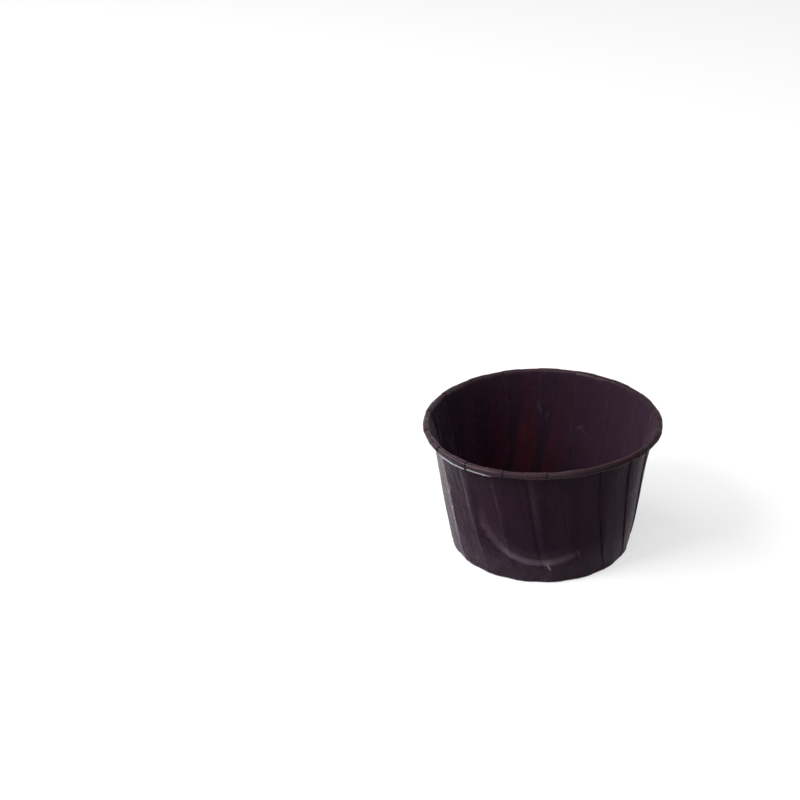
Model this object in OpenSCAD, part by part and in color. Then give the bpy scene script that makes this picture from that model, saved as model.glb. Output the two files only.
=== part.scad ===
// A pleated paper baking cup with a rolled rim, pressed from one round blank of coated paper.
//
// The cup is one folded sheet. Every point of it has a place on the flat blank, its distance from
// the blank's centre. The finished cup is narrower than the blank there, and each pleat takes up
// an equal share of the spare length: the paper runs past, folds back over itself and runs on,
// so that three layers lie on each other between the two folds.

/* [Cup] */
// Diameter of the flat bottom
base_d = 50; // [44:1:56]
// Diameter over the rolled rim
rim_d = 68; // [63:1:76]
// Height from the bottom to the top of the rolled rim
cup_h = 39; // [30:1:48]
// Radius of the bend between the bottom and the wall, at the middle of the paper
corner_r = 0.8; // [0.6:0.1:2]

/* [Paper] */
// Thickness of the coated paper
paper_t = 0.1; // [0.08:0.01:0.12]
// Space left between two layers of a pleat
layer_gap = 0.02; // [0.01:0.01:0.04]

/* [Pleats] */
// Number of pleats round the wall
pleat_count = 18; // [14:1:20]
// Angle, in degrees, by which a pleat leans round the cup between the bottom and the rim
pleat_lean = 9; // [0:1:14]

/* [Rolled rim] */
// Diameter of the rolled bead, where three layers lie on each other
bead_d = 2.2; // [1.8:0.1:3]
// Angle, in degrees, through which the paper is rolled
roll_turn = 400; // [300:10:420]
// Space left between the start of the roll and its tucked end
roll_clearance = 0.06; // [0.04:0.01:0.1]

/* [Smoothness] */
// Steps in the bend between the bottom and the wall
corner_steps = 3; // [2:1:4]
// Steps up the wall
wall_steps = 4; // [3:1:5]
// Steps in a full turn of the rolled rim
roll_steps = 12; // [8:4:12]

/* [Hidden] */

// Angle from one pleat to the next.
pitch = 360 / pleat_count;
// Distance from the middle of one layer to the middle of the layer it lies on.
layer_step = paper_t + layer_gap;
// Thickness of the three layers in a pleat.
stack_t = 2 * layer_step + paper_t;

// Unit vector at an angle in degrees.
function direction(angle) = [cos(angle), sin(angle)];

// Length of a bend of radius r through an angle in degrees.
function arc(r, angle) = r * angle * PI / 180;

// Cut through on one side of the axis, the sheet's middle line is a bend, a straight wall and a
// roll. Points there are [distance from the axis, height].
corner_centre = [base_d / 2, paper_t / 2 + corner_r];
roll_centre = [(rim_d - bead_d) / 2, cup_h - bead_d / 2];
roll_r = (bead_d - stack_t) / 2;

// The wall leaves the bend on its outer side and meets the roll on its inner side, so it slopes
// outwards by a little less than the line from one centre to the other.
centres = roll_centre - corner_centre;
wall_slope = atan2(centres.x, centres.y) - asin((corner_r + roll_r) / norm(centres));
wall_foot = corner_centre + corner_r * direction(-wall_slope);
wall_top = roll_centre - roll_r * direction(-wall_slope);

// Distances from the blank's centre at which the bend, the wall and the roll end.
corner_end = base_d / 2 + arc(corner_r, 90 - wall_slope);
wall_end = corner_end + norm(wall_top - wall_foot);

// Once it has closed by half, the roll winds inwards so that its end clears its start.
function roll_radius(turn) = roll_r - (stack_t + roll_clearance) * max(0, turn / 180 - 1);
function roll_length(turn) = turn <= 180
    ? arc(roll_r, turn)
    : arc(roll_r, 180) + arc((roll_r + roll_radius(turn)) / 2, turn - 180);

// Turns at which the roll has a row of points, among them its top and its widest place.
roll_turns = [
    for (i = [ceil(wall_slope * roll_steps / 360 + 0.5) : 1 : 2 * roll_steps])
        let (turn = i * 360 / roll_steps - wall_slope)
        if (turn < roll_turn - 180 / roll_steps) turn
];

// A station is one row of the sheet: [point on the middle line, angle of the outward normal,
// distance from the blank's centre, share of each pleat that is formed there].
corner_stations = [
    for (i = [0 : corner_steps])
        let (share = i / corner_steps, normal = -90 + (90 - wall_slope) * share)
        [corner_centre + corner_r * direction(normal), normal,
         base_d / 2 + (corner_end - base_d / 2) * share, share]
];
wall_stations = [
    for (i = [1 : wall_steps])
        let (share = i / wall_steps)
        [wall_foot + (wall_top - wall_foot) * share, -wall_slope,
         corner_end + (wall_end - corner_end) * share, 1]
];
roll_stations = [
    for (turn = concat(roll_turns, [roll_turn]))
        let (normal = -wall_slope - turn)
        [roll_centre - roll_radius(turn) * direction(normal), normal, wall_end + roll_length(turn), 1]
];
stations = concat(corner_stations, wall_stations, roll_stations);
rows = len(stations);

function radius(station) = station[0].x;
function normal(station) = station[1];
function blank_radius(station) = station[2];
function formed(station) = station[3];

// Angle round the axis over which half the paper's thickness stands at a fold.
function half_paper(station) = formed(station) * paper_t / 2 / radius(station) * 180 / PI;

// Half the angle over which a pleat's layers lie on each other. Two extra layers of that width
// take up the pleat's share of the blank's spare length.
function half_overlap(station) =
    formed(station) < 1 ? 0 : (blank_radius(station) / radius(station) - 1) * pitch / 4;

// The pleats lean more and more slowly on their way up, and stand straight in the roll.
function lean(station) =
    let (up = min(1, (blank_radius(station) - base_d / 2) / (wall_end - base_d / 2)))
    pleat_lean * (1 - (1 - up) ^ 2);

// Corners of a pleat: [side of the overlap, layer, 1 or -1 for a layer right or wrong side out].
// The sheet comes in as the inner layer, folds back as the middle one and leaves as the outer one.
pleat_corners = [[1, -1, 1], [1, 0, -1], [-1, 0, -1], [-1, 1, 1]];
// Places on the panel up to the next pleat: [share of the way there, side of the overlap, layer].
panel_places = [[0, 1, 1], [0.5, 0, 0], [1, -1, -1]];
columns = len(pleat_corners) + len(panel_places);
// The column that starts the middle layer, whose squares run backwards round the cup.
middle_column = 1;
row_size = pleat_count * columns;

// A point at an angle round the axis, lifted from the middle line along its outward normal.
function cup_point(station, angle, lift) =
    let (flat = station[0] + lift * direction(normal(station)))
    [flat.x * cos(angle), flat.x * sin(angle), flat.y];

// A pleat's corner on one face of the paper, which is 1 outside the cup and -1 inside it.
function corner_point(station, start, corner, face) =
    let (step = formed(station) * layer_step,
         lift = corner[1] * step + face * corner[2] * paper_t / 2,
         // While the pleat forms, the middle layer stays between the other two.
         limit = face * (paper_t / 2 - step),
         kept = corner[1] != 0 ? lift : face > 0 ? max(lift, limit) : min(lift, limit))
    cup_point(station, start + corner[0] * half_overlap(station) - face * half_paper(station), kept);

// A place on the panel, on one face of the paper.
function panel_point(station, start, place, face) =
    let (edge = half_overlap(station) + half_paper(station),
         lift = place[2] * formed(station) * layer_step + face * paper_t / 2)
    cup_point(station, start + place[0] * pitch + place[1] * edge, lift);

// One row of points round one face of the sheet.
function row(station, face) = [
    for (pleat = [0 : pleat_count - 1])
        let (start = pleat * pitch - lean(station))
        each concat(
            [for (corner = pleat_corners) corner_point(station, start, corner, face)],
            [for (place = panel_places) panel_point(station, start, place, face)])
];

// The points are the outer face's rows, the inner face's rows and the bottom's two middle points.
function outer(i, j) = i * row_size + j % row_size;
function inner(i, j) = (rows + i) * row_size + j % row_size;
outer_middle = 2 * rows * row_size;
inner_middle = outer_middle + 1;

// Two triangles for a square whose corners are given in turn. Layers that lie on each other are
// split along the same line, so that they stay apart where they twist.
function split(a, b, c, d, column) =
    column == middle_column ? [[a, b, d], [b, c, d]] : [[a, b, c], [a, c, d]];

module liner() {
    points = concat(
        [for (station = stations) each row(station, 1)],
        [for (station = stations) each row(station, -1)],
        [[0, 0, 0], [0, 0, paper_t]]);
    bottom = [
        for (j = [0 : row_size - 1])
            each [[outer_middle, outer(0, j), outer(0, j + 1)], [inner_middle, inner(0, j + 1), inner(0, j)]]
    ];
    wall = [
        for (i = [0 : rows - 2], j = [0 : row_size - 1])
            each concat(
                split(outer(i, j), outer(i + 1, j), outer(i + 1, j + 1), outer(i, j + 1), j % columns),
                split(inner(i, j), inner(i, j + 1), inner(i + 1, j + 1), inner(i + 1, j), j % columns))
    ];
    cut_edge = [
        for (i = rows - 1, j = [0 : row_size - 1])
            each split(outer(i, j), inner(i, j), inner(i, j + 1), outer(i, j + 1), 0)
    ];
    color([0.17, 0.11, 0.11])
        polyhedron(points = points, faces = concat(bottom, wall, cut_edge));
}

liner();
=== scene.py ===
# %% [markdown]
# # A pleated baking cup with a rolled rim
#
# A baking cup is pressed from one round blank of coated paper. A fluted tool lays the paper that
# is to spare round the wall in knife pleats, and a second tool rolls the edge into a bead.
# This lesson makes the cup the same way. Every point of the mesh keeps its place on the flat
# blank, and Geometry Nodes work out where pressing and rolling carry it.

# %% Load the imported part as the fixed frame
from math import cos, pi, radians, sin

import bpy
from mathutils import Matrix, Vector


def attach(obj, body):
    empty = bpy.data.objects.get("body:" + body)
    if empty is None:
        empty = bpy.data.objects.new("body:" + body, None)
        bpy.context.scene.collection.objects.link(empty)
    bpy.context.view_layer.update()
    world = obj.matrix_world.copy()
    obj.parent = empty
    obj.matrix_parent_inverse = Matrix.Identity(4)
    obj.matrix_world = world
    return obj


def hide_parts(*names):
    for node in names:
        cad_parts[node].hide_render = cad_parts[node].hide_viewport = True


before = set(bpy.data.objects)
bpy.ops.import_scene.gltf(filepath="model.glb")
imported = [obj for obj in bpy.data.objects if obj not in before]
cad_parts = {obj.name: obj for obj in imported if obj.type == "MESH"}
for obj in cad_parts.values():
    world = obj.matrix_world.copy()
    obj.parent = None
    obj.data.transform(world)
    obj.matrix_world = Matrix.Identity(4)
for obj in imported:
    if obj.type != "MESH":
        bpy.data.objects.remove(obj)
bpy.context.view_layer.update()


# %% [markdown]
# ## Sizes
#
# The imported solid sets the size. Its widest point is the rolled rim, its highest point is the top
# of the roll, and the points that lie on the ground give the flat bottom. The paper's own
# thickness and the roll's diameter can't be read as simply, so they are written here.

# %% Measure the solid and name the paper's sizes
MM = 0.001
on_ground = 0.001 * MM
solid_points = [v.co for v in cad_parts["liner"].data.vertices]
base_radius = max(p.xy.length for p in solid_points if p.z < on_ground)
rim_radius = max(p.xy.length for p in solid_points)
cup_height = max(p.z for p in solid_points)
paper_thickness = 0.08 * MM
bead_diameter = 2.2 * MM
print(f"bottom {base_radius / MM:.2f} mm, rim {rim_radius / MM:.2f} mm, height {cup_height / MM:.2f} mm")

# %% [markdown]
# ## Camera
#
# The camera comes first, because the surface detail is seen through it. It looks down at the
# cup from the front with a moderate lens. The cup stands right of the middle of the picture, so
# the camera is panned and tipped off the cup and not shifted.

# %% Place the camera
camera_distance = 0.4731
camera_elevation = radians(29.61)
camera_turn = radians(4.1)
camera_pan, camera_tip, camera_roll = radians(-5.04), radians(-2.63), radians(-0.89)
aim_height = 20 * MM
lens_mm, sensor_mm = 72.8, 36
nearest_seen = 0.01

back = Vector((0, -cos(camera_elevation), sin(camera_elevation)))
up = Vector((0, sin(camera_elevation), cos(camera_elevation)))
facing_cup = Matrix((Vector((1, 0, 0)), up, back)).transposed()
off_cup = (Matrix.Rotation(camera_roll, 3, "Z") @ Matrix.Rotation(camera_tip, 3, "X")
           @ Matrix.Rotation(camera_pan, 3, "Y"))
round_cup = Matrix.Rotation(camera_turn, 3, "Z")
camera_place = round_cup @ (back * camera_distance + Vector((0, 0, aim_height)))
camera_rotation = round_cup @ facing_cup @ off_cup.transposed()

camera_data = bpy.data.cameras.new("camera")
camera_data.lens, camera_data.sensor_width = lens_mm, sensor_mm
camera_data.clip_start = nearest_seen
camera = bpy.data.objects.new("camera", camera_data)
camera.matrix_world = Matrix.Translation(camera_place) @ camera_rotation.to_4x4()
bpy.context.scene.collection.objects.link(camera)
bpy.context.scene.camera = camera
bpy.context.scene.view_settings.view_transform = "Standard"
print("camera at", [round(v, 3) for v in camera_place])

# %% [markdown]
# ## Formulas as node trees
#
# The cup's shape is a formula: a place on the blank goes in and a place in space comes out. Node
# trees hold formulas well but are hard to read, so a small class lets the script write ordinary
# arithmetic and turns each sign into one Math node.

# %% Write arithmetic that builds Math nodes
class Field:
    """A number that a node tree works out at every point."""

    def __init__(self, socket):
        self.socket = socket

    def __add__(self, other):
        return maths("ADD", self, other)

    def __sub__(self, other):
        return maths("SUBTRACT", self, other)

    def __mul__(self, other):
        return maths("MULTIPLY", self, other)

    def __truediv__(self, other):
        return maths("DIVIDE", self, other)

    def __mod__(self, other):
        return maths("FLOORED_MODULO", self, other)

    def __radd__(self, other):
        return maths("ADD", other, self)

    def __rsub__(self, other):
        return maths("SUBTRACT", other, self)

    def __rmul__(self, other):
        return maths("MULTIPLY", other, self)

    def __rtruediv__(self, other):
        return maths("DIVIDE", other, self)


def add_node(tree, kind, **settings):
    """A new node of that kind with its settings made."""
    node = tree.nodes.new(kind)
    for name, value in settings.items():
        setattr(node, name, value)
    return node


def feed(tree, socket, value):
    """Links a field or a socket to an input, or writes a plain value on it."""
    if isinstance(value, Field):
        value = value.socket
    if isinstance(value, bpy.types.NodeSocket):
        tree.links.new(value, socket)
    else:
        socket.default_value = value


def maths(operation, *values):
    """One Math node. At least one of the values is a field, and its tree gets the node."""
    tree = next(v for v in values if isinstance(v, Field)).socket.id_data
    node = add_node(tree, "ShaderNodeMath", operation=operation)
    for socket, value in zip(node.inputs, values):
        feed(tree, socket, value)
    return Field(node.outputs[0])


# %% Name the functions that the formulas use
def sine(angle):
    return maths("SINE", angle)


def cosine(angle):
    return maths("COSINE", angle)


def absolute(value):
    return maths("ABSOLUTE", value)


def whole(value):
    return maths("FLOOR", value)


def larger(a, b):
    return maths("MAXIMUM", a, b)


def smaller(a, b):
    return maths("MINIMUM", a, b)


def root_of_squares(a, b):
    return maths("SQRT", a * a + b * b)


def mix(first, second, share):
    return first + (second - first) * share


def ramp(value, start, end, kind="LINEAR"):
    """0 before start, 1 after end, and in between a straight or smooth rise."""
    tree = value.socket.id_data
    node = add_node(tree, "ShaderNodeMapRange", interpolation_type=kind)
    for name, setting in (("Value", value), ("From Min", start), ("From Max", end)):
        feed(tree, node.inputs[name], setting)
    return Field(node.outputs["Result"])


def smooth(value, start=0.0, end=1.0):
    return ramp(value, start, end, "SMOOTHSTEP")


def window(value, start, full, fading, end):
    """0 before start, 1 between full and fading, and 0 again after end."""
    return smooth(value, start, full) * (1 - smooth(value, fading, end))


# %% Name the vectors and the random values too
def vector_of(tree, x, y, z):
    """A vector socket from three numbers or fields."""
    node = add_node(tree, "ShaderNodeCombineXYZ")
    for socket, value in zip(node.inputs, (x, y, z)):
        feed(tree, socket, value)
    return node.outputs[0]


def parts_of(tree, vector):
    """The three numbers of a vector."""
    node = add_node(tree, "ShaderNodeSeparateXYZ")
    feed(tree, node.inputs[0], vector)
    return [Field(part) for part in node.outputs]


def chance(number, salt):
    """A fixed random value from -1 to 1 for each whole number. The salt picks another series."""
    tree = number.socket.id_data
    node = add_node(tree, "ShaderNodeTexWhiteNoise", noise_dimensions="1D")
    numbers_apart = 7.13
    feed(tree, node.inputs["W"], number * numbers_apart + salt)
    return Field(node.outputs["Value"]) * 2 - 1


def noise(tree, vector, scale, detail):
    """Smooth noise from about -1 to 1."""
    node = add_node(tree, "ShaderNodeTexNoise")
    feed(tree, node.inputs["Vector"], vector)
    feed(tree, node.inputs["Scale"], scale)
    feed(tree, node.inputs["Detail"], detail)
    return Field(node.outputs[0]) * 2 - 1


# %% [markdown]
# ## The sheet as a closed skin
#
# Paper has two faces that meet at the blank's cut edge, so its skin is closed like a balloon that
# is pressed flat. A UV sphere has the same layout: one pole becomes the middle of the inner face,
# the other the middle of the outer face, and the equator becomes the cut edge. Because the mesh
# starts closed, no seam has to be merged afterwards. Each point's number says where it lies: its
# ring gives the face and the distance from the blank's centre, and its place in the ring gives
# the pleat and the column.

# %% Start the tree and name its inputs
cup_tree = bpy.data.node_groups.new("Pleated cup", "GeometryNodeTree")
cup_tree.interface.new_socket("Geometry", in_out="OUTPUT", socket_type="NodeSocketGeometry")
cup_sizes = {
    "Pleats": 18,
    "Bottom rows": 6,
    "Bend rows": 4,
    "Wall rows": 76,
    "Roll rows": 20,
    "Bottom radius": base_radius,
    "Rim radius": rim_radius,
    "Height": cup_height,
    "Bend radius": 0.8 * MM,
    "Bead diameter": bead_diameter,
    "Paper thickness": paper_thickness,
    "Layer gap": 0.035 * MM,
    "Lean": radians(9),
    "Roll turn": radians(400),
    "Roll clearance": 0.06 * MM,
    "Panel flatness": 1.0,
    "Uneven pleats": radians(0.9),
    "Flap lift": 0.12 * MM,
    "Crinkle depth": 0.14 * MM,
    "Bottom dome": 0.25 * MM,
    "Lip": 0.5 * MM,
    "Groove": 0.38 * MM,
    "Seed": 4.0,
}
for name, value in cup_sizes.items():
    kind = "NodeSocketInt" if isinstance(value, int) else "NodeSocketFloat"
    cup_tree.interface.new_socket(name, in_out="INPUT", socket_type=kind)
cup_tree.interface.new_socket("Material", in_out="INPUT", socket_type="NodeSocketMaterial")
cup_input = add_node(cup_tree, "NodeGroupInput")
size = {name: Field(cup_input.outputs[name]) for name in cup_sizes}
print(len(cup_sizes), "named sizes")

# %% Give each kind of unevenness its own series of random values
# The number of a series is added to the seed.
series = {
    "foot of pleat": 0,
    "panel": 11,
    "top of pleat": 31,
    "overlap": 57,
    "waves": 71,
    "outer flap": 83,
    "inner flap": 97,
    "edge light": 113,
}


def uneven(which, kind):
    """A random value from -1 to 1 for a pleat or panel, by its number round the cup."""
    return chance(which, size["Seed"] + series[kind])


print(len(series), "series of random values")

# %% Number the rows, the faces and the columns
# Columns of one pleat: the inner layer, its fold, the middle layer, its fold, the outer layer and
# the open panel up to the next pleat. The three layers have as many columns each, so that their
# points lie over each other and the layers can't cut through each other where the wall bends.
inner_end, first_fold_end, middle_end, second_fold_end, outer_end, columns = 4, 7, 11, 14, 18, 26

rows = size["Bottom rows"] + size["Bend rows"] + size["Wall rows"] + size["Roll rows"]
segments = size["Pleats"] * columns
skin = add_node(cup_tree, "GeometryNodeMeshUVSphere")
feed(cup_tree, skin.inputs["Segments"], segments)
feed(cup_tree, skin.inputs["Rings"], rows * 2 + 1)

# The first point is a pole, so the rings start with the second.
number = Field(add_node(cup_tree, "GeometryNodeInputIndex").outputs[0]) - 1
ring = whole((number + 0.5) / segments)
row = smaller(ring, rows * 2 - 1 - ring)
outside = ramp(ring, rows - 1, rows)
place_in_ring = number - ring * segments
pleat = whole((place_in_ring + 0.5) / columns)
column = place_in_ring - pleat * columns
print(columns, "columns in a pleat")

# %% [markdown]
# ## From the blank to the pressed profile
#
# Cut through on one side of the axis, the sheet is a flat bottom, a tight bend, a straight wall
# and a roll of a little more than a full turn. Four ramps say how far a row has come along each of
# them, and every formula adds up their shares. The wall touches the bend on its outer side and
# the roll on its inner side, which fixes its slope.

# %% Follow the profile row by row
# Rows of the wall lie closer together at its foot, where the folds begin.
closer_at_foot = 0.4
# The roll presses the paper to half its thickness within this share of its rows.
pressed_within, pressed_share = 0.06, 0.5

bend_row = size["Bottom rows"] - 1
wall_row = bend_row + size["Bend rows"]
roll_row = wall_row + size["Wall rows"]
along_bottom = ramp(row, -1, bend_row)
along_bend = ramp(row, bend_row, wall_row)
wall_share = ramp(row, wall_row, roll_row)
along_wall = wall_share * (1 - closer_at_foot + wall_share * closer_at_foot)
along_roll = ramp(row, roll_row, rows - 1)
rolled = smooth(along_roll, 0.0, pressed_within)
pressed_thin = 1 - rolled * pressed_share
print("the roll presses the paper to", 1 - pressed_share, "of its thickness")

# %% Fit the wall between the bend and the roll
stack = (size["Paper thickness"] + size["Layer gap"]) * 2 + size["Paper thickness"]
layer_step = (size["Paper thickness"] + size["Layer gap"]) * pressed_thin
bead_radius = size["Bead diameter"] / 2
roll_radius = bead_radius - stack / 2
across = size["Rim radius"] - bead_radius - size["Bottom radius"]
rise = size["Height"] - bead_radius - size["Bend radius"] - size["Paper thickness"] / 2
slope = (maths("ARCTAN2", across, rise)
         - maths("ARCSINE", (size["Bend radius"] + roll_radius) / root_of_squares(across, rise)))
wall_across = across - (roll_radius + size["Bend radius"]) * cosine(slope)
wall_rise = rise + (roll_radius + size["Bend radius"]) * sine(slope)
wall_length = root_of_squares(wall_across, wall_rise)
print(len(cup_tree.nodes), "nodes fit the wall")

# %% Add up the profile's place, its outward direction and the distance on the blank
bend_turned = (pi / 2 - slope) * along_bend
turned = size["Roll turn"] * along_roll
# Once it has closed by half, the roll winds inwards so that its end clears its start.
wound = larger(turned / pi - 1, 0)
winding_radius = roll_radius - (stack + size["Roll clearance"]) * wound

profile_radius = (size["Bottom radius"] * along_bottom + size["Bend radius"] * sine(bend_turned)
                  + wall_across * along_wall
                  + roll_radius * cosine(slope) - winding_radius * cosine(slope + turned))
profile_height = (size["Paper thickness"] / 2 + size["Bend radius"] * (1 - cosine(bend_turned))
                  + wall_rise * along_wall
                  - roll_radius * sine(slope) + winding_radius * sine(slope + turned))
outward = bend_turned - pi / 2 - turned
blank_radius = (size["Bottom radius"] * along_bottom + size["Bend radius"] * bend_turned
                + wall_length * along_wall
                + roll_radius * smaller(turned, pi)
                + (roll_radius + winding_radius) * wound * (pi / 2))
print(len(cup_tree.nodes), "nodes make the profile")

# %% [markdown]
# ## Knife pleats
#
# On a circle of the cup the blank is longer than the cup is round. Each pleat takes up its share
# of that spare length: the sheet runs past, folds back over itself and runs on. Six ramps along
# the columns trace that zigzag. A little above the bottom, where there is hardly any spare paper,
# the columns spread out evenly instead, so that no face shrinks to nothing.

# %% Trace one pleat along its columns
# Columns of the open panel crowd towards its end, where it slides under the next pleat.
crowded = 1.6
on_inner = ramp(column, 0, inner_end)
on_first_fold = ramp(column, inner_end, first_fold_end)
on_middle = ramp(column, first_fold_end, middle_end)
on_second_fold = ramp(column, middle_end, second_fold_end)
on_outer = ramp(column, second_fold_end, outer_end)
on_panel = 1 - maths("POWER", 1 - ramp(column, outer_end, columns), crowded)
print(outer_end, "columns fold the pleat and", columns - outer_end, "cross the panel")

# %% Work out the spare paper and how far the pleats have formed
pitch = 2 * pi / size["Pleats"]
smallest_radius = 0.1 * MM
spare = larger(blank_radius / larger(profile_radius, smallest_radius) - 1, 0)
folded = smooth(blank_radius, size["Bottom radius"] + 0.5 * MM, size["Bottom radius"] + 5 * MM)
layered = smooth(blank_radius, size["Bottom radius"] - 0.2 * MM, size["Bottom radius"] + 1.2 * MM)

# The pleats lean more and more slowly on their way up. The bend is a small part of that way.
share_of_bend = 0.03
up_wall = along_bend * share_of_bend + along_wall * (1 - share_of_bend)
leaning = size["Lean"] * (1 - (1 - up_wall) * (1 - up_wall))
print(f"each pleat has {360 / cup_sizes['Pleats']:.0f} degrees of the cup")

# %% Let each pleat wander a little
# A wave runs up each pleat through this angle in radians. It starts within this spread and swings
# by this share of what the pleats are uneven by.
wave_turn, wave_spread, wave_share = 9, 4, 0.45
# A pleat's offset at the foot fades by this share on the way up, and a second offset grows there.
foot_fades = 0.5
uneven_overlap = 0.1


def pleat_centre(which):
    """Angle of a pleat's middle, which wanders a little from pleat to pleat."""
    name = which % size["Pleats"]
    from_foot = uneven(name, "foot of pleat") * (1 - up_wall * foot_fades)
    wander = from_foot + uneven(name, "top of pleat") * up_wall
    waviness = sine(up_wall * wave_turn + uneven(name, "waves") * wave_spread) * (1 - up_wall) * wave_share
    return which * pitch - leaning + (wander + waviness) * size["Uneven pleats"] * folded


def half_overlap(which):
    """Half the angle over which a pleat's layers lie on each other. Two are extra layers."""
    name = which % size["Pleats"]
    return spare * pitch / 4 * (1 + uneven(name, "overlap") * uneven_overlap)


centre, next_centre = pleat_centre(pleat), pleat_centre(pleat + 1)
half, next_half = half_overlap(pleat), half_overlap(pleat + 1)
zigzag = centre + half * (on_inner * 2 - on_middle * 2 + on_outer * 2 - 1)
panel_width = next_centre - next_half - centre - half
fold_bulge = (sine(on_first_fold * pi) - sine(on_second_fold * pi)) * layer_step / 2 / profile_radius
folded_angle = zigzag + panel_width * on_panel + fold_bulge
even_angle = mix(centre, next_centre, (column - outer_end / 2) / columns)
angle = mix(even_angle, folded_angle, folded)
print(len(cup_tree.nodes), "nodes lay the zigzag round the cup")

# %% Lift the layers off each other and let the flaps stand off a little
# A panel slopes under the next pleat over its whole width, and in the roll only at its end.
tucked_late = 0.94
uneven_flaps = 0.8
inner_flap_share = 0.25
tucked_under = mix(smooth(on_panel), smooth(on_panel, tucked_late, 1.0), rolled)
layer = ((1 - cosine(on_first_fold * pi)) / 2 + (1 - cosine(on_second_fold * pi)) / 2
         - tucked_under * 2 - 1)
name_of_pleat = pleat % size["Pleats"]
flaps_free = window(along_wall, 0.02, 0.25, 0.3, 0.75)
outer_flap = on_middle * (1 - on_outer) * (1 + uneven(name_of_pleat, "outer flap") * uneven_flaps)
inner_flap = on_inner * (1 - on_middle) * (1 + uneven(name_of_pleat, "inner flap") * uneven_flaps)
flaps_lifted = (outer_flap - inner_flap * inner_flap_share) * size["Flap lift"] * flaps_free
lift = layer * layer_step * layered + flaps_lifted
print(len(cup_tree.nodes), "nodes with the pleats")

# %% [markdown]
# ## What pressing and handling leave behind
#
# A pressed cup is never a clean cone. The panels between the pleats come out almost flat, so the
# bottom looks like a polygon. Stacking and handling push dents into the wall and press the rim a
# little out of round, and the paper is covered in shallow crinkles that run slantwise between the
# folds. All layers of a pleat move together here, so they stay clear of each other.

# %% Find places round the cup
def turn_from(middle):
    """Angle from a place round the cup, up to half a turn either way. The place is in degrees."""
    return maths("WRAP", angle - radians(middle), pi, -pi)


def near(middle, full, gone):
    """1 within one angle of a place round the cup and 0 past a wider one, all in degrees."""
    return 1 - smooth(absolute(turn_from(middle)), radians(full), radians(gone))


# %% Flatten the panels
# Up the wall, a panel may stay rounder than flat by up to this share.
rounder_panels = 0.3
# Panels are flattest a little above the foot, round again at the rim, and roundest at this side.
roundest_side = radians(20)
# This share of a flat panel's depth is added all round, so that the cup keeps its size.
kept_round = 0.7
in_pitch = mix((angle - centre) / pitch, (angle - next_centre) / pitch + 1, on_panel)
panel_name = (pleat + whole(in_pitch)) % size["Pleats"]
rounder = absolute(uneven(panel_name, "panel")) * rounder_panels * smooth(along_wall, 0.0, 0.5)
flatter_up = 0.5 + smooth(along_wall, 0.0, 0.25) * 0.5
flatter_round = 0.6 - cosine(angle - roundest_side) * 0.4
flat_share = (along_bottom * along_bottom * flatter_up * (1 - smooth(along_wall, 0.6, 1.0))
              * flatter_round * size["Panel flatness"])
across_panel = in_pitch % 1
chord_depth = across_panel * (1 - across_panel) * 4 * (1 - cosine(pitch / 2))
sagging = chord_depth * (1 - rounder) - (1 - cosine(pitch / 2)) * kept_round
print(len(cup_tree.nodes), "nodes with the flat panels")

# %% Push the foot out at the left
fullest_side = radians(180 - 15)
fuller_mm = 0.45
to_the_left = larger(cosine(angle - fullest_side), 0)
fuller_foot = to_the_left * (1 - smooth(profile_height, 1 * MM, 9 * MM)) * along_bottom * fuller_mm * MM
radius = profile_radius * (1 - sagging * flat_share) + fuller_foot
print("the foot is fuller by", fuller_mm, "mm")

# %% Press in the dents
# Each dent: angle and height of its middle, half its width, half its height, its depth and the
# share of its half width that its flank takes. Angles are in degrees and sizes in mm.
dents = (
    (-85, 26.5, 20.5, 20.5, 0.9, 0.075),
    (48, 22.0, 16.0, 16.0, 0.7, 0.12),
    (104, 12.0, 9.0, 9.0, 0.3, 0.4),
    (94, 25.5, 1.6, 4.5, 0.35, 0.9),
    (68, 21.5, 1.4, 3.5, 0.3, 0.9),
    (146, 25.0, 12.0, 18.0, 0.5, 0.15),
)
front_dent = dents[0]


def distance_in_dent(middle_angle, middle_height, half_width, half_height):
    """0 in the middle of a dent and 1 at its edge."""
    sideways = turn_from(middle_angle) * radius / (half_width * MM)
    upwards = (profile_height - middle_height * MM) / (half_height * MM)
    return root_of_squares(sideways, upwards)


def dent(middle_angle, middle_height, half_width, half_height, depth, flank):
    """How far one dent pushes the wall in."""
    distance = distance_in_dent(middle_angle, middle_height, half_width, half_height)
    return (1 - ramp(distance, 1 - flank, 1.0)) * depth * MM


# The front dent runs out to the right, and all of them fade towards the bottom and the rim.
runs_out = 1 - smooth(turn_from(front_dent[0]), radians(4), radians(38))
dented = window(along_wall, 0.0, 0.1, 0.35, 0.97)
pressed_in = sum((dent(*values) for values in dents[1:]), dent(*front_dent) * runs_out) * dented
print(len(dents), "dents")

# %% Paint a highlight along the front dent's edge and light below the dent
# The band has a soft side, a sharp side and an end, all in shares of the dent's half width.
from_middle = distance_in_dent(*front_dent[:4])
soft_side = ramp(from_middle, 0.76, 0.93) * 0.3
sharp_side = ramp(from_middle, 0.92, 0.95) * 0.7
band = (soft_side + sharp_side) * (1 - ramp(from_middle, 0.985, 1.005))
low_down = 1 - smooth(profile_height, 6 * MM, 30 * MM) * 0.9
# Painted light: the wall just below the dent is made lighter.
light_below_dent = ramp(from_middle, 0.98, 1.02) * (1 - smooth(profile_height, 3 * MM, 14 * MM)) * 0.28
dent_highlight_band = band * low_down * runs_out * runs_out * smooth(along_wall, 0.02, 0.08)
# The band is a painted highlight, and the patch below it is painted light.
painted_dent_light = (dent_highlight_band + light_below_dent) * outside
print(len(cup_tree.nodes), "nodes with the dents")

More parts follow.
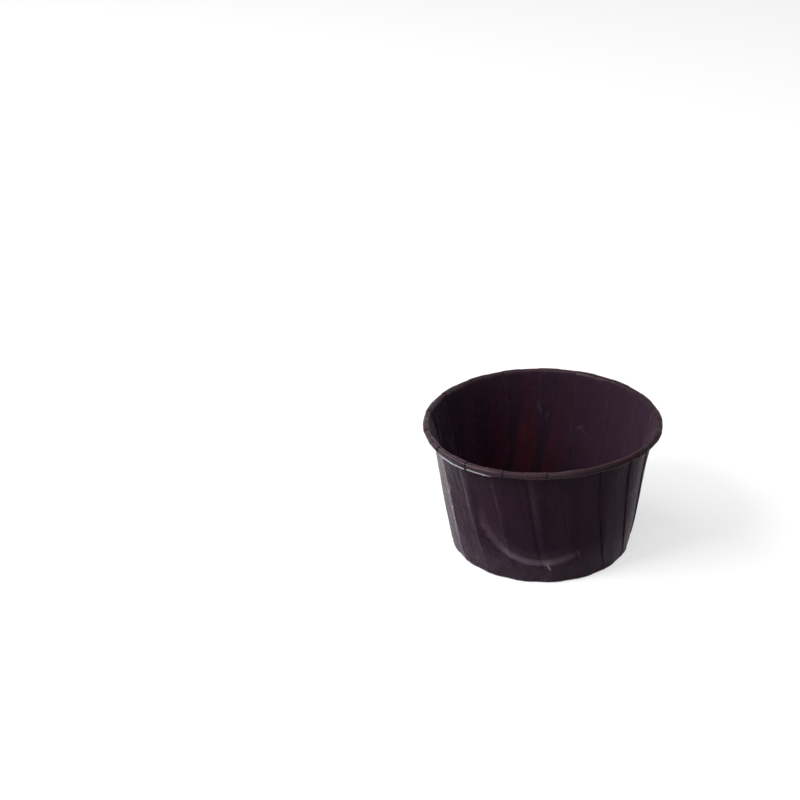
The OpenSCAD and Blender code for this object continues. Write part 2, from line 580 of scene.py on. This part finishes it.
# %% Add the crinkles
# The pattern of the streaks has this radius round the cup, and changes this much in a metre of
# height. So it is stretched along the pleats.
streaks_round, streaks_up = 3.2, 14
streak_share, ridge_share = 0.7, 0.6
place = vector_of(cup_tree, radius * cosine(angle), radius * sine(angle), profile_height)
along_pleats = angle + leaning
slanted = vector_of(cup_tree, cosine(along_pleats) * streaks_round, sine(along_pleats) * streaks_round,
                    profile_height * streaks_up)
streaks = noise(cup_tree, slanted, scale=5.0, detail=3.0)
ridges = 0.3 - absolute(noise(cup_tree, place, scale=260.0, detail=1.0))
crinkled = window(along_wall, 0.0, 0.2, 0.85, 1.0)
crinkle = (streaks * streak_share + ridges * ridge_share) * size["Crinkle depth"] * crinkled
domed = size["Bottom dome"] * (1 - along_bottom * along_bottom)
print(f"crinkles up to about {cup_sizes['Crinkle depth'] / MM:.2f} mm deep")

# %% Lift the lip of the roll below the bead at the left
# A short ridge stands for the roll's edge, which stands off there. The material paints a pale glint along
# it.
lip_turn, lip_width = radians(220), radians(20)
lip_reach = near(-126.5, 13, 20)
from_lip = absolute(turned - lip_turn)
lip = larger(1 - from_lip / lip_width, 0) * lip_reach * size["Lip"]
print(f"lip lifted by {cup_sizes['Lip'] / MM:.2f} mm")

# %% Press a shallow groove along the edge of each flap
groove_left, groove_right = 0.9 * MM, 2.6 * MM
# The groove is this deep all round, as a share of its depth beside the fold in front.
groove_all_round = 0.12


def groove_beside(edge_angle):
    """1 on the edge. It falls off quickly to the left and slowly to the right, over the flap."""
    past_edge = (angle - edge_angle) * profile_radius
    return (1 - smooth(past_edge, 0, groove_right)) * smooth(past_edge, -groove_left, 0)


at_front = near(-89, 10, 16)
groove_share = groove_all_round + at_front * (1 - groove_all_round)
groove_share = groove_share * window(along_wall, 0.0, 0.12, 0.85, 1.0)
groove = larger(groove_beside(centre - half), groove_beside(next_centre - next_half)) * groove_share
total_lift = lift + crinkle - pressed_in - domed - lip - groove * size["Groove"]
print(len(cup_tree.nodes), "nodes with the marks of pressing and handling")

# %% Squeeze the rim out of round and flare the wall
# The rim is pushed in most at one side, given in degrees, and out a little all round, as a soft
# ring gives when it is squeezed. It rises where it is pushed in. A larger number for narrow keeps
# the push to a shorter stretch of the rim.
pushed_side, push_narrow = -65, 1.2
pushed_in_mm, pushed_out_mm, pushed_up_mm = 1.65, 0.3, 0.25
# The wall is drawn in below the rim, most at three quarters of its height, by about a tenth of
# this many mm. So it flares out at the top.
flare_mm = 4.75
pushed = cosine(smaller(absolute(turn_from(pushed_side)) * push_narrow, pi / 2))
flare = along_wall * along_wall * along_wall * (1 - along_wall) * flare_mm
squeezed = ((pushed_out_mm - pushed * pushed * pushed_in_mm) * up_wall - flare) * MM
raised = pushed * pushed * up_wall * pushed_up_mm * MM
print(f"rim pushed in by {pushed_in_mm - pushed_out_mm:.2f} mm")

# %% [markdown]
# ## Points into space, then thickness
#
# So far both faces of the paper lie on the sheet's middle line. Once the points are in place, each
# one moves out by half the paper's thickness along its own normal. The skin's two halves face
# opposite ways, so they part, and the thickness holds round every fold. Where the folds begin and
# beside the lifted lip the layers bend sharply, so the paper is made thinner there.

# %% Place the points
final_radius = radius + total_lift * cosine(outward) + squeezed
final_height = profile_height + total_lift * sine(outward) + raised
in_space = vector_of(cup_tree, final_radius * cosine(angle), final_radius * sine(angle), final_height)
placed = add_node(cup_tree, "GeometryNodeSetPosition")
feed(cup_tree, placed.inputs["Geometry"], skin.outputs["Mesh"])
feed(cup_tree, placed.inputs["Position"], in_space)

# %% Thicken the sheet
eased_at_folds, eased_at_lip = 0.5, 0.6
past_bottom = blank_radius - size["Bottom radius"]
beside_fold = 1 - smooth(on_panel, 0.0, 0.19)
folds_begin = window(past_bottom, 2.0 * MM, 2.8 * MM, 4.5 * MM, 5.5 * MM) * beside_fold
beside_lip = (1 - smooth(from_lip, radians(25), radians(45))) * lip_reach
eased = 1 - folds_begin * eased_at_folds - beside_lip * eased_at_lip
half_thickness = add_node(cup_tree, "ShaderNodeVectorMath", operation="SCALE")
feed(cup_tree, half_thickness.inputs[0], add_node(cup_tree, "GeometryNodeInputNormal").outputs[0])
feed(cup_tree, half_thickness.inputs["Scale"], size["Paper thickness"] * pressed_thin * eased / 2)
thickened = add_node(cup_tree, "GeometryNodeSetPosition")
feed(cup_tree, thickened.inputs["Geometry"], placed.outputs[0])
feed(cup_tree, thickened.inputs["Offset"], half_thickness.outputs[0])
print(len(cup_tree.nodes), "nodes with the paper's thickness")

# %% [markdown]
# ## What the paper remembers
#
# The material has to know where the sheet is folded or rolled, and where light and shade are
# painted on it. A pattern in space can't say that, because three layers lie in one place. So the
# tree writes named attributes on the points while it still knows their pleat, row and face.

# %% Find each point's place on the flat blank
sheet_run = (on_inner + on_middle + on_outer) * half * 2 + panel_width * on_panel
share_of_pleat = mix(column / columns, sheet_run / (half * 6 + panel_width), folded)
blank_angle = (pleat + share_of_pleat) * pitch
on_blank = vector_of(cup_tree, blank_radius * cosine(blank_angle), blank_radius * sine(blank_angle), 0)
beside_panel = 1 - smooth(on_panel, 0.0, 0.12) + smooth(on_panel, 0.88, 1.0)
stacked = larger(beside_panel * layered, rolled)
print(len(cup_tree.nodes), "nodes with the place on the blank")

# %% Measure what the marks on the bead follow
# The seams on the bead close more tightly from the front to the right.
tighter_mm = 0.16
from_seam = absolute(angle - centre - half) * profile_radius / MM + near(-40, 30, 45) * tighter_mm
past_lip = (turned - lip_turn) / lip_width

# %% Measure what the marks on the wall follow
from_corner = (angle - centre) * profile_radius / MM
# A painted glint runs along this fold edge at the left.
fold_glint = near(-148, 5, 9) * outside * smooth(along_wall, 0.1, 0.3)
from_edge = (angle - centre + half) * profile_radius / MM

# Light that the edges of the flaps catch: everywhere, beside the front fold and at the left.
light_all_round, light_in_front, light_at_left = 0.2, 0.7, 0.9
uneven_light = 0.3
edge_light = ((light_all_round + at_front * light_in_front + near(-128, 7, 14) * light_at_left)
              * window(along_wall, 0.3, 0.75, 0.9, 1.0)
              * (1 + uneven(name_of_pleat, "edge light") * uneven_light))

# Light from behind comes through single layers of the rear wall, less and less towards the rim.
light_comes_through = near(103, 3, 31) * (1 - smooth(profile_height, 10 * MM, 32 * MM) * 0.8)
# Painted glow: these single layers are coloured as if lit from behind.
glow_through = (1 - stacked) * light_comes_through * smooth(along_wall, 0.0, 0.05)
print(len(cup_tree.nodes), "nodes with the marks")


# %% Write the attributes
def store(geometry, name, value):
    """Writes a named attribute for the material to read, from a field or a vector socket."""
    kind = "FLOAT" if isinstance(value, Field) else "FLOAT_VECTOR"
    node = add_node(cup_tree, "GeometryNodeStoreNamedAttribute", data_type=kind, domain="POINT")
    feed(cup_tree, node.inputs["Geometry"], geometry)
    feed(cup_tree, node.inputs["Name"], name)
    feed(cup_tree, node.inputs["Value"], value)
    return node.outputs["Geometry"]


remembered = {
    "blank": on_blank,
    "stacked": stacked,
    "painted_dent_light": painted_dent_light,
    "rolled": rolled,
    "bead_marks": vector_of(cup_tree, from_seam, past_lip, lip_reach),
    "edge_marks": vector_of(cup_tree, from_edge, edge_light, outside),
    "wall_marks": vector_of(cup_tree, from_corner, fold_glint, glow_through),
}
geometry = thickened.outputs[0]
for name, value in remembered.items():
    geometry = store(geometry, name, value)
print("attributes:", ", ".join(remembered))

# %% End the tree with plain, smooth geometry in one material
shaded = add_node(cup_tree, "GeometryNodeSetShadeSmooth")
feed(cup_tree, shaded.inputs["Geometry"], geometry)
realized = add_node(cup_tree, "GeometryNodeRealizeInstances")
feed(cup_tree, realized.inputs["Geometry"], shaded.outputs[0])
painted = add_node(cup_tree, "GeometryNodeSetMaterial")
feed(cup_tree, painted.inputs["Geometry"], realized.outputs[0])
feed(cup_tree, painted.inputs["Material"], cup_input.outputs["Material"])
cup_output = add_node(cup_tree, "NodeGroupOutput")
feed(cup_tree, cup_output.inputs[0], painted.outputs[0])
print(len(cup_tree.nodes), "nodes in the cup's tree")

# %% [markdown]
# ## Coated paper
#
# The paper is dyed a dark brown and has a thin smooth coating on both faces. It is
# so thin that light from outside shines through a single layer and shows reddish inside the cup,
# while three layers on each other stay nearly black. Subsurface scattering in the thin sheet gives
# most of that, with a mean path that is longest for red. A painted red glow on single layers at the
# rear and a darker colour painted on stacked layers as shade give the rest. The fine relief comes
# from a group of shader nodes. The colour is mixed step by step: first the dye with its painted
# shade, then the painted glow through it, the painted highlights and sheen, and last the rolled bead.

# %% Build the crinkle group, which gives the fine relief, the scuffs and the broad bands
def new_group(name, inputs, outputs):
    """An empty shader group with float inputs at their defaults, and its two end nodes."""
    group = bpy.data.node_groups.new(name, "ShaderNodeTree")
    group.interface.new_socket("Vector", in_out="INPUT", socket_type="NodeSocketVector")
    for label, default in inputs.items():
        socket = group.interface.new_socket(label, in_out="INPUT", socket_type="NodeSocketFloat")
        socket.default_value = default
    for label in outputs:
        group.interface.new_socket(label, in_out="OUTPUT", socket_type="NodeSocketFloat")
    return group, add_node(group, "NodeGroupInput"), add_node(group, "NodeGroupOutput")


def crinkle_group():
    """Fine relief of the sheet: streaks that run out from the blank's middle, and faint creases."""
    group, given, result = new_group("Fine crinkles", {"Streak width": 1.1, "Crease size": 6.0},
                                     ("Height", "Scuffs", "Bands"))
    blank_place = given.outputs["Vector"]
    length = add_node(group, "ShaderNodeVectorMath", operation="LENGTH")
    feed(group, length.inputs[0], blank_place)
    from_centre = Field(length.outputs["Value"])
    outwards = add_node(group, "ShaderNodeVectorMath", operation="NORMALIZE")
    feed(group, outwards.inputs[0], blank_place)
    round_blank = parts_of(group, outwards.outputs[0])
    # The pattern changes quickly round the blank and slowly outwards, which draws it into streaks.
    change_outwards = 3.2
    radial = vector_of(group, round_blank[0], round_blank[1], from_centre * change_outwards)
    on_wall = smooth(from_centre, base_radius * 0.85, base_radius * 1.1)
    streaks = noise(group, radial, scale=55 / Field(given.outputs["Streak width"]), detail=3.0) * on_wall
    creases = noise(group, blank_place, scale=1000 / Field(given.outputs["Crease size"]), detail=3.0)
    scuffs = noise(group, blank_place, scale=420.0, detail=5.0)
    bands = noise(group, radial, scale=11.0, detail=2.0) * on_wall
    feed(group, result.inputs["Height"], streaks * 0.7 + (0.2 - absolute(creases)) * 0.9)
    feed(group, result.inputs["Scuffs"], smooth(scuffs, -0.1, 0.6))
    feed(group, result.inputs["Bands"], bands)
    return group


fine_crinkles = crinkle_group()
print("group", fine_crinkles.name, "with", len(fine_crinkles.nodes), "nodes")

# %% Start the material and read what the sheet remembers
paper_material = bpy.data.materials.new("coated_paper")
paper_material.use_nodes = True
paper_tree = paper_material.node_tree
paper = paper_tree.nodes["Principled BSDF"]


def remembered_here(name):
    """The Attribute node's outputs for one of the attributes."""
    return add_node(paper_tree, "ShaderNodeAttribute", attribute_name=name).outputs


on_sheet = remembered_here("blank")["Vector"]
stacked_here = Field(remembered_here("stacked")["Fac"])
dent_light_here = Field(remembered_here("painted_dent_light")["Fac"])
rolled_here = Field(remembered_here("rolled")["Fac"])
mm_from_seam, past_lip_here, lip_here = parts_of(paper_tree, remembered_here("bead_marks")["Vector"])
mm_from_edge, edge_light_here, outside_here = parts_of(paper_tree, remembered_here("edge_marks")["Vector"])
mm_from_corner, fold_glint_here, glow_through_here = parts_of(paper_tree, remembered_here("wall_marks")["Vector"])

relief = add_node(paper_tree, "ShaderNodeGroup", node_tree=fine_crinkles)
feed(paper_tree, relief.inputs["Vector"], on_sheet)
height = Field(relief.outputs["Height"])
scuffs = Field(relief.outputs["Scuffs"])
bands = Field(relief.outputs["Bands"]) * 1.2
clouds = noise(paper_tree, on_sheet, scale=60.0, detail=4.0) * 0.4

in_cup = add_node(paper_tree, "ShaderNodeTexCoord").outputs["Object"]
to_right = smooth(parts_of(paper_tree, in_cup)[0], 2 * MM, 26 * MM)
print(len(paper_tree.nodes), "nodes read the sheet")

# %% Dye the paper, paint shade on stacked layers and paint light through its single layers
single_dye = (0.0200, 0.0088, 0.0178, 1)
# Stacked layers are painted darker, as shade for the light that they hold back.
stacked_shade_colour = (0.0152, 0.0058, 0.0128, 1)
inner_face_dye = (0.0200, 0.0112, 0.0178, 1)
lit_from_behind = (0.0330, 0.0103, 0.0160, 1)
inner_dye_share = 0.6


def blend(share, first, second):
    """A colour between two colours."""
    node = add_node(paper_tree, "ShaderNodeMix", data_type="RGBA")
    feed(paper_tree, node.inputs["Factor"], share)
    feed(paper_tree, node.inputs[6], first)
    feed(paper_tree, node.inputs[7], second)
    return node.outputs[2]


# How far the colour goes towards the painted shade of stacked layers, with clouds, bands and relief in it.
toward_stacked_shade = stacked_here * 0.35 + clouds + bands + height * 0.35 + 0.2
dyed = blend(toward_stacked_shade, single_dye, stacked_shade_colour)
dyed = blend((1 - outside_here) * inner_dye_share, dyed, inner_face_dye)
lit = blend(glow_through_here * (0.8 + height * 0.9 + clouds * 0.5), dyed, lit_from_behind)
print(len(paper_tree.nodes), "nodes dye the paper")

# %% Paint highlights on the edges of the flaps and along the front dent
# One lighter colour serves both painted highlights.
painted_highlight_colour = (0.085, 0.062, 0.080, 1)
edge_highlight_share = 0.18
flap_light = window(mm_from_edge, 0.05, 0.5, 0.8, 3.2) * edge_light_here * outside_here
with_edge_highlights = blend(flap_light * (0.8 + bands) * edge_highlight_share, lit, painted_highlight_colour)
patchy = 0.8 + scuffs * 0.3 + noise(paper_tree, on_sheet, scale=160.0, detail=2.0) * 0.5
with_dent_highlight = blend(dent_light_here * patchy, with_edge_highlights, painted_highlight_colour)
print(len(paper_tree.nodes), "nodes with the rubbed edges")

# %% Paint glints on the wall's creases and sheen on the crumples inside
# Short marks: angle and height of the middle, turn from straight down towards the right, half the
# length, half the width and the strength. Angles are in degrees and sizes in mm.
# Painted highlights where creases catch the light, and on the fold edge at the left.
crease_glints = (
    (-80.8, 5.5, 23, 1.5, 0.42, 0.75),
    (-62.5, 9.3, 20, 1.9, 0.40, 0.08),
    (-26.0, 23.1, 92, 3.2, 0.40, 0.3),
    (-146.5, 24.5, 8, 1.6, 0.35, 0.8),
)
# Painted sheen where crumples inside the cup catch the light.
crumple_sheens = (
    (95.5, 27.0, -20, 3.2, 0.7, 0.30),
    (91.5, 24.5, 15, 2.6, 0.6, 0.30),
    (70.5, 22.5, 60, 1.8, 0.6, 0.55),
    (66.5, 21.0, -40, 2.2, 0.6, 0.55),
)
mark_depth_mm = 4.0


def short_mark(middle_angle, middle_height, turn, half_length, half_width, strength):
    """A soft mark on the wall, in the terms of the lists above."""
    out = Vector((cos(radians(middle_angle)), sin(radians(middle_angle)), 0))
    right = Vector((-out.y, out.x, 0))
    down = Vector((0, 0, -1))
    along = down * cos(radians(turn)) + right * sin(radians(turn))
    wall_radius = base_radius + (rim_radius - base_radius) * middle_height * MM / cup_height
    offset = add_node(paper_tree, "ShaderNodeVectorMath", operation="SUBTRACT")
    feed(paper_tree, offset.inputs[0], in_cup)
    feed(paper_tree, offset.inputs[1], out * wall_radius - down * middle_height * MM)
    squares = []
    for axis, reach in ((along, half_length), (along.cross(out), half_width), (out, mark_depth_mm)):
        share = add_node(paper_tree, "ShaderNodeVectorMath", operation="DOT_PRODUCT")
        feed(paper_tree, share.inputs[0], offset.outputs[0])
        feed(paper_tree, share.inputs[1], axis / (reach * MM))
        squares.append(Field(share.outputs["Value"]) * Field(share.outputs["Value"]))
    return (1 - smooth(squares[0] + squares[1] + squares[2], 0.1, 1.0)) * strength


def all_marks(marks):
    """The marks of one list together."""
    return sum((short_mark(*values) for values in marks[1:]), short_mark(*marks[0]))


# Colours of the painted glints and of the painted sheen inside.
glint_colour = (0.20, 0.16, 0.19, 1)
painted_sheen_colour = (0.075, 0.055, 0.078, 1)
corner_share = 0.7
# A painted glint along the fold edge at the left.
fold_glint_line = (1 - smooth(absolute(mm_from_corner), 0.2, 0.5)) * fold_glint_here
glint_here = larger(fold_glint_line * corner_share, all_marks(crease_glints) * outside_here)
wall_with_glints = blend(glint_here, with_dent_highlight, glint_colour)
# The painted sheen shows only inside the cup.
crumple_sheen_here = all_marks(crumple_sheens) * (1 - outside_here) * (0.5 + height)
wall_with_glints_and_sheen = blend(crumple_sheen_here, wall_with_glints, painted_sheen_colour)
print(len(crease_glints), "scrapes and", len(crumple_sheens), "crumple_sheens")

# %% Colour the bead, with painted shade at the right and in its seams, and a painted glint on the lip
# The bead is painted darker towards +X, as painted shade.
bead_dye = (0.0285, 0.0140, 0.0195, 1)
bead_shade_at_right = (0.0175, 0.0085, 0.0105, 1)
seam_shadow = (0.004, 0.002, 0.003, 1)
# Pale colour of the painted glints on the lip and on the left fold edge.
pale_glint_colour = (0.85, 0.60, 0.68, 1)
shadow_share, glint_fleck_share = 0.75, 0.5
# Painted shade in the grooves of the seams.
seam = (1 - smooth(mm_from_seam, 0.08, 0.3)) * rolled_here
bead = blend(rolled_here, wall_with_glints_and_sheen, blend(to_right, bead_dye, bead_shade_at_right))
seamed = blend(seam * shadow_share, bead, seam_shadow)

# A painted glint along the lip is a pale line that narrows to its ends and breaks at each seam.
lip_half = lip_here * 0.58
on_line = 1 - smooth(absolute(past_lip_here + 0.1), lip_half - 0.15, lip_half)
lip_glint = on_line * lip_here * smooth(mm_from_seam, 0.25, 0.55)
specks = noise(paper_tree, on_sheet, scale=420.0, detail=2.0)
# Painted flecks of light on the fold edge at the left.
glint_flecks = fold_glint_line * smooth(specks, 0.15, 0.4) * glint_fleck_share
colour = blend(larger(lip_glint, glint_flecks), seamed, pale_glint_colour)
feed(paper_tree, paper.inputs["Base Color"], colour)
print(len(paper_tree.nodes), "nodes make the whole colour")

# %% Give the coating its gloss and relief
# The coating is duller towards +X, as the real cup's looks there.
roughness, scuffed_by, duller_by = 0.26, 0.08, 0.16
bead_coat, coat_lost = 0.12, 0.9
feed(paper_tree, paper.inputs["Roughness"], roughness + scuffs * scuffed_by + to_right * duller_by)
bead_gloss = rolled_here * bead_coat * (1 - seam) * (1 - to_right * coat_lost)
feed(paper_tree, paper.inputs["Coat Weight"], bead_gloss)
bump = add_node(paper_tree, "ShaderNodeBump")
bump.inputs["Strength"].default_value = 0.6
bump.inputs["Distance"].default_value = 0.16 * MM
feed(paper_tree, bump.inputs["Height"], height)
feed(paper_tree, paper.inputs["Normal"], bump.outputs[0])

coating = {
    "Coat Roughness": 0.14,
    "Specular IOR Level": 0.025,
    "Sheen Weight": 0.12,
    "Sheen Roughness": 0.3,
    "Sheen Tint": (1.0, 0.85, 1.0, 1),
    "Subsurface Weight": 0.6,
    "Subsurface Radius": (1.0, 0.26, 0.28),
    "Subsurface Scale": 0.25 * MM,
}
for name, value in coating.items():
    paper.inputs[name].default_value = value
print("material", paper_material.name, "with", len(paper_tree.nodes), "nodes")

# %% [markdown]
# ## The cup itself
#
# The tree runs as a modifier on an empty mesh. Its inputs are set by identifier before the first
# evaluation, and the result is copied to a plain mesh, which is what the frame needs.

# %% Run the tree and keep its result as a plain mesh
cup = bpy.data.objects.new("liner_paper", bpy.data.meshes.new("liner_paper"))
bpy.context.scene.collection.objects.link(cup)
modifier = cup.modifiers.new("Pleated cup", "NODES")
modifier.node_group = cup_tree
for item in cup_tree.interface.items_tree:
    if item.in_out == "INPUT":
        modifier[item.identifier] = cup_sizes.get(item.name, paper_material)

bpy.context.view_layer.update()
evaluated = cup.evaluated_get(bpy.context.evaluated_depsgraph_get())
pressed_mesh = bpy.data.meshes.new_from_object(evaluated)
cup.modifiers.remove(modifier)
cup.data = pressed_mesh
print("cup mesh:", len(pressed_mesh.vertices), "points,", len(pressed_mesh.polygons), "faces")

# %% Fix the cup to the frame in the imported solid's place
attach(cup, "root")
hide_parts("liner")


# %% [markdown]
# ## Floor, light and background
#
# A dark smooth cup shows its surroundings more than its colour, so they are kept as simple as in a
# light tent: a white floor, a white surround and four broad lamps. The strongest two stand at the
# left, one hangs overhead and a faint one stands at the right. The surround is white to the camera
# and to reflections, and dimmer where it only lights the cup.

# %% Lay the floor
def seen_directly(tree):
    """1 for what the camera sees, in a mirror or through glass too, and 0 for light that falls."""
    path = add_node(tree, "ShaderNodeLightPath").outputs
    rays = [Field(path[name]) for name in ("Is Camera Ray", "Is Glossy Ray", "Is Transmission Ray")]
    return larger(larger(rays[0], rays[1]), rays[2])


def white_floor(colour, glow):
    """A pale matt floor. The glow lifts its look to white, and the cup's shadow stays."""
    material = bpy.data.materials.new("white_floor")
    material.use_nodes = True
    surface = material.node_tree.nodes["Principled BSDF"]
    surface.inputs["Base Color"].default_value = (colour, colour, colour, 1)
    surface.inputs["Roughness"].default_value = 0.9
    surface.inputs["Specular IOR Level"].default_value = 0.0
    surface.inputs["Emission Color"].default_value = (1, 1, 1, 1)
    feed(material.node_tree, surface.inputs["Emission Strength"], seen_directly(material.node_tree) * glow)
    return material


floor_half = 6.0
floor_mesh = bpy.data.meshes.new("floor")
floor_mesh.from_pydata(
    [(-floor_half, -floor_half, 0), (floor_half, -floor_half, 0),
     (floor_half, floor_half, 0), (-floor_half, floor_half, 0)], [], [(0, 1, 2, 3)])
floor = bpy.data.objects.new("floor", floor_mesh)
floor.data.materials.append(white_floor(colour=0.35, glow=0.6))
bpy.context.scene.collection.objects.link(floor)
print(f"floor {floor_half * 2:.0f} m across")

# %% Set the white surround
surround = bpy.data.worlds.new("surround")
surround.use_nodes = True
bpy.context.scene.world = surround
sky = surround.node_tree
ambient_level = 0.3
sky.nodes["Background"].inputs["Color"].default_value = (1, 1, 1, 1)
white_or_ambient = seen_directly(sky) * (1 - ambient_level) + ambient_level
feed(sky, sky.nodes["Background"].inputs["Strength"], white_or_ambient)
print("light of the surround on the cup:", ambient_level)

# %% Hang the lamps
lamp_distance = 1.0


def area_lamp(name, azimuth, elevation, width, power):
    """A square lamp that looks at the cup. Azimuth is counted from +X towards +Y, in degrees."""
    data = bpy.data.lights.new(name, "AREA")
    data.size, data.energy = width, power
    lamp = bpy.data.objects.new(name, data)
    around, upwards = radians(azimuth), radians(elevation)
    direction = Vector((cos(around) * cos(upwards), sin(around) * cos(upwards), sin(upwards)))
    place = direction * lamp_distance
    target = Vector((0, 0, cup_height / 2))
    facing = (target - place).to_track_quat("-Z", "Y").to_matrix().to_4x4()
    lamp.matrix_world = Matrix.Translation(place) @ facing
    bpy.context.scene.collection.objects.link(lamp)
    return lamp


lamps = [
    area_lamp("key", azimuth=-150, elevation=40, width=0.5, power=12.0),
    area_lamp("left", azimuth=165, elevation=36, width=0.5, power=5.5),
    area_lamp("top", azimuth=-95, elevation=68, width=0.8, power=4.0),
    area_lamp("right", azimuth=20, elevation=30, width=0.5, power=1.2),
]
print("lamps:", ", ".join(lamp.name for lamp in lamps))
